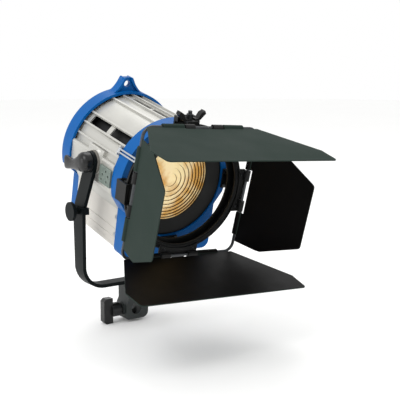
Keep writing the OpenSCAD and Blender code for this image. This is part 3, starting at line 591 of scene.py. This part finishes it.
def lofted(stations, sides=28):
    """A closed skin through rounded sections across y: (centre, half width in x, half height in z)."""
    shape = bmesh.new()
    rings = []
    for centre, wide, tall in stations:
        ring = bmesh.ops.create_circle(shape, cap_ends=False, radius=1, segments=sides)["verts"]
        for vert in ring:
            x, z = vert.co.x, vert.co.y
            fuller = (abs(x) ** 3 + abs(z) ** 3) ** (-1 / 3)
            vert.co = Vector((centre[0] + x * fuller * wide, centre[1], centre[2] + z * fuller * tall))
        rings.append(list({e for v in ring for e in v.link_edges}))
    for a, b in zip(rings, rings[1:]):
        bmesh.ops.bridge_loops(shape, edges=a + b)
    bmesh.ops.holes_fill(shape, edges=shape.edges[:], sides=0)
    return shape


# ---------------------------------------------------------------- operators
class SPOTLIGHT_OT_castings(bpy.types.Operator):
    """Makes the blue front and rear castings"""

    bl_idname = "spotlight.castings"
    bl_label = "Castings"

    def execute(self, context):
        soften("rear_casting", "rear_casting_enamelled", sizes().casting_edge, 3)
        soften("front_casting", "lens_door_casting", sizes().casting_edge, 3)
        return {"FINISHED"}


class SPOTLIGHT_OT_housing(bpy.types.Operator):
    """Makes the ribbed shell, the rails, the panels and the tray"""

    bl_idname = "spotlight.housing"
    bl_label = "Housing"

    def execute(self, context):
        for node in ("top_shell", "side_rail_left", "side_rail_right"):
            soften(node, node + "_painted", sizes().sheet_edge)
        for node in ("side_panel_left", "side_panel_right", "bottom_tray"):
            soften(node, node + "_enamelled", sizes().sheet_edge)
        for node in ("vent_block_left", "vent_block_right"):
            soften(node, node + "_cast", 1.0 * MM, 3)
        for node in ("heat_baffle", "rear_bulkhead", "rear_cover", "rod_support"):
            soften(node, node + "_painted", sizes().sheet_edge)
        return {"FINISHED"}


class SPOTLIGHT_OT_yoke(bpy.types.Operator):
    """Makes the yoke, its washers, the receptacle and the cable peg"""

    bl_idname = "spotlight.yoke"
    bl_label = "Yoke and socket"

    def execute(self, context):
        soften("yoke_strap", "yoke_strap_coated", sizes().strap_edge, 3)
        soften("spigot_receptacle", "receptacle_cast", sizes().casting_edge, 3)
        soften("receptacle_bolt", "receptacle_bolt_head", 0.4 * MM)
        soften("cable_peg", "cable_peg_moulded", 0.9 * MM, 3)
        soften("friction_washers", "friction_washers_pressed", 0.3 * MM)
        return {"FINISHED"}


class SPOTLIGHT_OT_controls(bpy.types.Operator):
    """Makes the tilt lever, the clamp handle and the knobs"""

    bl_idname = "spotlight.controls"
    bl_label = "Levers and knobs"

    def execute(self, context):
        self.tilt_lever()
        soften("spigot_clamp_knob", "clamp_handle_moulded", sizes().plastic_edge, 3)
        soften("spigot_clamp_screw", "clamp_screw_turned", 0.4 * MM)
        soften("pivot_nut_right", "pivot_nut_moulded", sizes().plastic_edge, 3)
        soften("pivot_studs", "pivot_studs_turned", 0.5 * MM)
        self.focus_knob()
        soften("focus_spindle", "focus_spindle_turned", 0.4 * MM)
        return {"FINISHED"}

    def tilt_lever(self):
        """A domed hub with a moulded paddle that sweeps back, waists and flares to its tip."""
        low, high = node_box("tilt_lever")
        pivot = joint_point("tilt_clamp_turn")
        inner, outer = high.x, low.x
        radius = 13.3 * MM
        depth = inner - outer
        # The dome, as shares of the hub's radius and depth
        dome = ((1, 0.45), (0.97, 0.6), (0.86, 0.77), (0.66, 0.9), (0.4, 0.975), (0, 1))
        hub = turned(
            [(0, 0), (radius * 0.94, 0), (radius, 0.8 * MM)] + [(radius * r, depth * y) for r, y in dome],
            steps=64, closed=False,
        )
        hub = moved(hub, Matrix.Translation((inner, pivot.y, pivot.z)) @ Matrix.Rotation(math.pi / 2, 4, "Z"))
        reach = high.y - pivot.y
        middle = outer + 5.4 * MM
        # Along the paddle: share of its reach, height of its middle, half height and half thickness, in mm
        stations = (
            (0.00, -1.0, 11.0, 5.2), (0.12, -1.2, 10.4, 5.3), (0.26, -2.4, 8.6, 4.9), (0.42, -3.6, 7.0, 4.3),
            (0.58, -4.0, 6.6, 4.0), (0.74, -3.8, 7.4, 4.1), (0.88, -3.2, 8.6, 4.3), (0.955, -2.8, 8.9, 4.1),
            (0.988, -2.7, 8.2, 3.3), (1.00, -2.7, 6.6, 1.9),
        )
        paddle = lofted([
            ((middle - (0.9 * share) * MM, pivot.y + reach * share, pivot.z + up * MM), thick * MM, tall * MM)
            for share, up, tall, thick in stations
        ])
        piece("tilt_lever_moulded", join(hub, paddle), ROW, "tilt_clamp", "knob_black", ["tilt_lever"])

    def focus_knob(self):
        """A knob with round flutes all round, a chamfered rim and a dished face with a moulded pointer."""
        flute_depth, chamfer, land, bevel, dish = 0.9 * MM, 1.2 * MM, 2.4 * MM, 0.8 * MM, 0.9 * MM
        points_per_flute = 6
        low, high = head_box("focus_knob")
        centre = (low + high) / 2
        radius = (high.x - low.x) / 2
        count = sizes().knob_flutes
        outline = []
        for i in range(count * points_per_flute):
            turn = 2 * math.pi * i / (count * points_per_flute)
            flute = max(0.0, math.cos(count * turn)) ** 2
            grip = radius - flute_depth * flute
            outline.append((grip * math.cos(turn), grip * math.sin(turn)))
        rim = high.y - chamfer
        body = prism(outline, low.y, rim)
        face = next(f for f in body.faces if abs(f.calc_center_median().y - rim) < 0.01 * MM)
        bmesh.ops.inset_region(body, faces=[face], thickness=chamfer, depth=0)
        bmesh.ops.translate(body, verts=face.verts[:], vec=(0, chamfer, 0))
        bmesh.ops.inset_region(body, faces=[face], thickness=land, depth=0)
        bmesh.ops.inset_region(body, faces=[face], thickness=bevel, depth=0)
        bmesh.ops.translate(body, verts=face.verts[:], vec=(0, -dish, 0))
        pointer = bmesh.new()
        bmesh.ops.create_cube(pointer, size=1)
        bmesh.ops.scale(pointer, vec=(1.6 * MM, 1.4 * MM, radius * 0.55), verts=pointer.verts[:])
        bmesh.ops.translate(pointer, vec=(0, high.y - 0.5 * MM, radius * 0.42), verts=pointer.verts[:])
        rounded_edges(pointer, 0.35 * MM)
        shape = moved(join(body, pointer), Matrix.Translation((centre.x, 0, centre.z)))
        piece("focus_knob_fluted", shape, HEAD, "focus_drive", "knob_black", ["focus_knob"])


class SPOTLIGHT_OT_fittings(bpy.types.Operator):
    """Makes the hinge, catch, latch, brackets, gland and screws"""

    bl_idname = "spotlight.fittings"
    bl_label = "Fittings"

    def execute(self, context):
        for node in ("door_hinge_bracket", "accessory_brackets", "latch_base", "latch_plate", "cable_gland",
                     "catch_lug"):
            soften(node, node + "_finished", 0.5 * MM)
        for node in ("door_catch", "latch_screw", "casing_screws", "bracket_screws", "rear_cover_screws",
                     "lobe_rivets", "lens_clips", "guide_rods"):
            soften(node, node + "_plated", 0.25 * MM)
        return {"FINISHED"}


class SPOTLIGHT_OT_optics(bpy.types.Operator):
    """Makes the stepped lens, its ring and guard, the reflector and the lamp"""

    bl_idname = "spotlight.optics"
    bl_label = "Optics"

    def execute(self, context):
        self.lens()
        soften("lens_ring", "lens_ring_painted", 0.4 * MM)
        soften("lens_guard", "lens_guard_wires", 0)
        soften("reflector", "reflector_spun", 0.3 * MM)
        soften("carriage_plate", "carriage_plate_bent", sizes().sheet_edge)
        soften("carriage_nut", "carriage_nut_turned", 0.4 * MM)
        soften("lampholder", "lampholder_pressed", 0.9 * MM, 3)
        soften("bulb_base", "bulb_base_pressed", 0.5 * MM)
        soften("bulb_envelope", "bulb_capsule", 0)
        soften("bulb_filament", "bulb_filament_coil", 0)
        return {"FINISHED"}

    def lens(self):
        """A flat back, a domed core and saw-toothed rings that grow narrower and steeper outwards."""
        low, high = head_box("lens")
        radius, back, front = high.x, high.y, low.y
        core, rim, land = 9 * MM, 0.8 * MM, 0.3 * MM
        count = sizes().lens_steps
        shrink = 0.92
        # The glass stands this far in front of the flat land at its rim, and its middle is domed
        stand, dome = 0.1 * MM, 0.9 * MM
        share = (radius - rim - core) / sum(shrink**i for i in range(count))
        edges = [core + share * sum(shrink**k for k in range(i)) for i in range(count + 1)]
        profile = [(0, back), (radius, back), (radius, front + 0.05 * MM), (edges[-1], front + 0.05 * MM)]
        for inner, outer in reversed(list(zip(edges, edges[1:]))):
            rise = (0.9 + 1.9 * outer / radius) * MM
            profile += [
                (outer + (inner + land - outer) * t, front + stand + rise * (1 - t) * (1 - 0.3 * t))
                for t in (0.0, 0.25, 0.5, 0.75, 1.0)
            ]
        profile += [(core * i / 6, front + stand + dome * (i / 6) ** 2) for i in range(6, -1, -1)]
        made = piece(
            "stepped_lens", turned(profile, steps=128, closed=False), HEAD, "lens_door", "lens_glass",
            ["lens"],
        )
        # The steep risers get the dark amber glass: painted shade on the steps
        made.data.materials.append(riser_painted_shade_glass())
        axis = HEAD.to_3x3().col[1]
        centre = HEAD.translation
        for face in made.data.polygons:
            out = (face.center - centre) - axis * axis.dot(face.center - centre)
            shaded_step = abs(face.normal.dot(axis)) < 0.55 and out.length < radius - rim
            face.material_index = int(shaded_step)


class SPOTLIGHT_OT_barndoor(bpy.types.Operator):
    """Makes the barndoor's ring, wire frame and leaves"""

    bl_idname = "spotlight.barndoor"
    bl_label = "Barndoor"

    def execute(self, context):
        soften("barndoor_ring", "barndoor_ring_painted", sizes().sheet_edge)
        soften("hinge_wire", "hinge_wire_bent", 0)
        for side, name in enumerate(("top", "right", "bottom", "left")):
            self.leaf(side, name)
        return {"FINISHED"}

    def leaf(self, side, name):
        """A leaf's one paint is split by which way a face points: near black inside as painted shade, lighter
        grey outside as painted light.
        """
        made = soften("leaf_" + name, "leaf_" + name + "_painted", sizes().sheet_edge)
        made.data.materials.clear()
        made.data.materials.append(finish_of("leaf_grey"))
        made.data.materials.append(finish_of("leaf_black"))
        inward = -((DOOR @ at_side(side)).to_3x3() @ Vector((0, 0, 1)))
        # Faces that point inward get the painted shade, the others the painted light
        for face in made.data.polygons:
            face.material_index = int(face.normal.dot(inward) > 0.3)


class SPOTLIGHT_OT_stage(bpy.types.Operator):
    """Sets the floor, the light and the camera"""

    bl_idname = "spotlight.stage"
    bl_label = "Stage"

    def execute(self, context):
        self.floor()
        self.lights()
        self.camera()
        return {"FINISHED"}

    def floor(self):
        shape = bmesh.new()
        bmesh.ops.create_circle(shape, cap_ends=True, radius=6, segments=64)
        bmesh.ops.translate(shape, verts=shape.verts[:], vec=(0, 0, CAD_BOX[0][2] - 0.2 * MM))
        mesh = bpy.data.meshes.new("floor")
        shape.to_mesh(mesh)
        shape.free()
        ground = bpy.data.objects.new("floor", mesh)
        bpy.context.scene.collection.objects.link(ground)
        # Seamless studio paper: matt and very even
        mesh.materials.append(
            coated("studio_paper", linear("#fcfcfb"), 0.9, 2.0, 0.02, cloud_mm=400, spread=0.01)
        )
        world = bpy.data.worlds.new("studio")
        world.use_nodes = True
        world.node_tree.nodes["Background"].inputs["Color"].default_value = (1, 1, 1, 1)
        world.node_tree.nodes["Background"].inputs["Strength"].default_value = 1.0
        bpy.context.scene.world = world
        bpy.context.scene.view_settings.view_transform = "Standard"

    def lights(self):
        target = (HEAD @ Matrix.Translation((0, -40 * MM, 0))).translation
        for name, place, width, power in (
            ("key_softbox", (-1.3, -0.5, 1.7), 1.0, 13),
            ("top_softbox", (0.5, 0.6, 1.9), 1.2, 9),
            ("side_strip", (-1.8, 0.5, 0.5), 0.7, 4),
        ):
            light = bpy.data.lights.new(name, "AREA")
            light.size = width
            light.energy = power
            lamp = bpy.data.objects.new(name, light)
            lamp.location = place
            lamp.rotation_euler = (target - Vector(place)).to_track_quat("-Z", "Y").to_euler()
            bpy.context.scene.collection.objects.link(lamp)

    def camera(self):
        view = bpy.data.cameras.new("camera")
        view.lens = 81
        view.sensor_width = 36
        eye = bpy.data.objects.new("camera", view)
        eye.location = (-0.626, -1.071, 0.372)
        eye.rotation_euler = (math.radians(80.6), 0, math.radians(-34.8))
        bpy.context.scene.collection.objects.link(eye)
        bpy.context.scene.camera = eye


OPERATORS = (
    SPOTLIGHT_OT_castings, SPOTLIGHT_OT_housing, SPOTLIGHT_OT_yoke, SPOTLIGHT_OT_controls,
    SPOTLIGHT_OT_fittings, SPOTLIGHT_OT_optics, SPOTLIGHT_OT_barndoor, SPOTLIGHT_OT_stage,
)


class SPOTLIGHT_PT_panel(bpy.types.Panel):
    """Lists the steps that finish the spotlight"""

    bl_label = "Fresnel spotlight"
    bl_idname = "SPOTLIGHT_PT_panel"
    bl_space_type = "VIEW_3D"
    bl_region_type = "UI"
    bl_category = "Spotlight"

    def draw(self, context):
        for operator in OPERATORS:
            self.layout.operator(operator.bl_idname)
        for group in (context.scene.spotlight_sizes, context.scene.spotlight_colours):
            box = self.layout.box()
            for name in group.bl_rna.properties.keys():
                if name not in ("rna_type", "name"):
                    box.prop(group, name)


CLASSES = (SpotlightSizes, SpotlightColours, *OPERATORS, SPOTLIGHT_PT_panel)


def register():
    for cls in CLASSES:
        bpy.utils.register_class(cls)
    bpy.types.Scene.spotlight_sizes = PointerProperty(type=SpotlightSizes)
    bpy.types.Scene.spotlight_colours = PointerProperty(type=SpotlightColours)


def unregister():
    del bpy.types.Scene.spotlight_colours
    del bpy.types.Scene.spotlight_sizes
    for cls in reversed(CLASSES):
        bpy.utils.unregister_class(cls)


def main():
    register()
    bpy.ops.spotlight.castings()
    bpy.ops.spotlight.housing()
    bpy.ops.spotlight.yoke()
    bpy.ops.spotlight.controls()
    bpy.ops.spotlight.fittings()
    bpy.ops.spotlight.optics()
    bpy.ops.spotlight.barndoor()
    bpy.ops.spotlight.stage()


if __name__ == "__main__":
    main()
